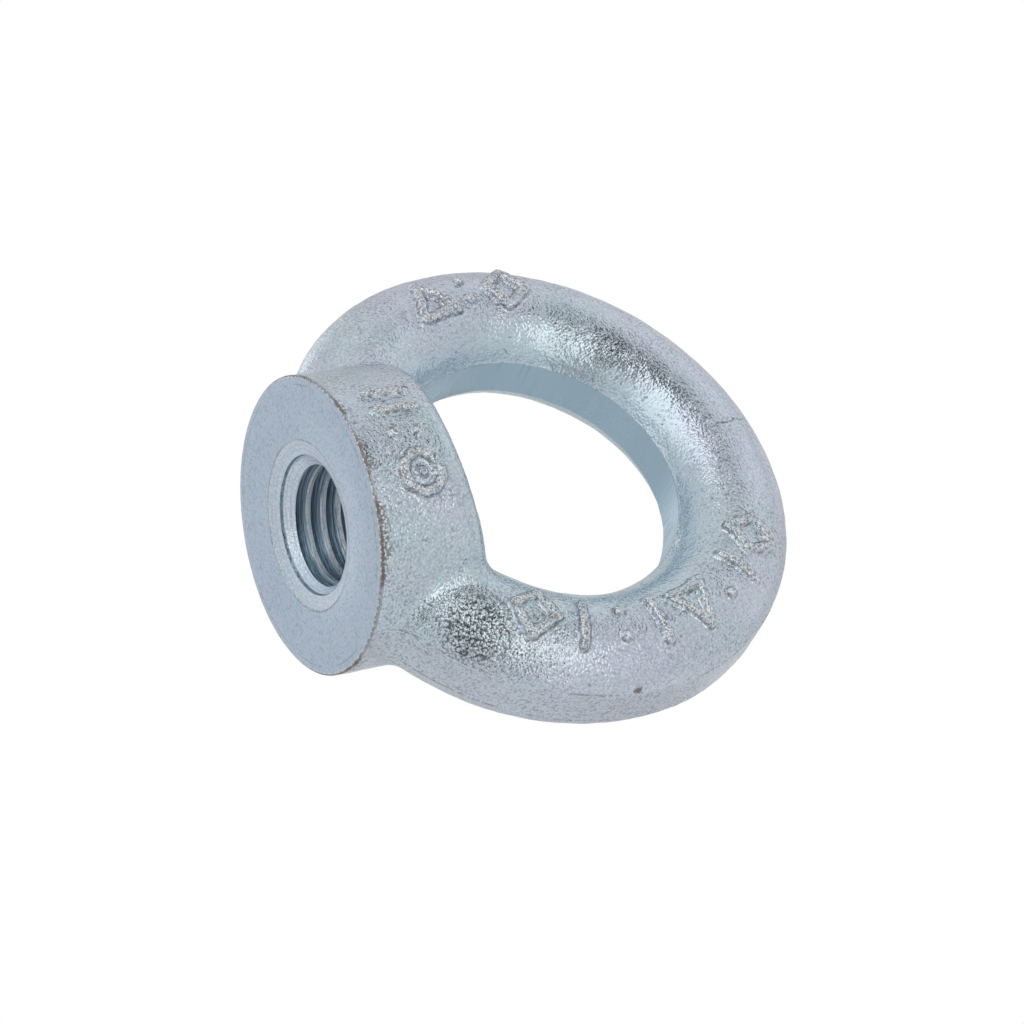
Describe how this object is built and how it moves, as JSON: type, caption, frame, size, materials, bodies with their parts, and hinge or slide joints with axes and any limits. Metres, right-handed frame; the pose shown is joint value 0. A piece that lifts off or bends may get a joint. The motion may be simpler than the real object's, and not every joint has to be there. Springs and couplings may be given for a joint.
{
  "type": "lifting eye nut",
  "caption": "Forged lifting eye nut: round ring on a round boss with a flat seat face and a threaded hole, zinc plated.",
  "frame": {"origin": "centre of the seat face, on the thread axis", "axes": "+Z along the thread axis from the seat face to the crown of the ring, +X across the ring, +Y through the eye"},
  "size_m": [0.063, 0.035, 0.062],
  "materials": {
    "zinc_plated_forging": "dull bluish zinc on blasted forged steel"
  },
  "bodies": {
    "root": {"eye_nut": "zinc_plated_forging"}
  },
  "joints": []
}
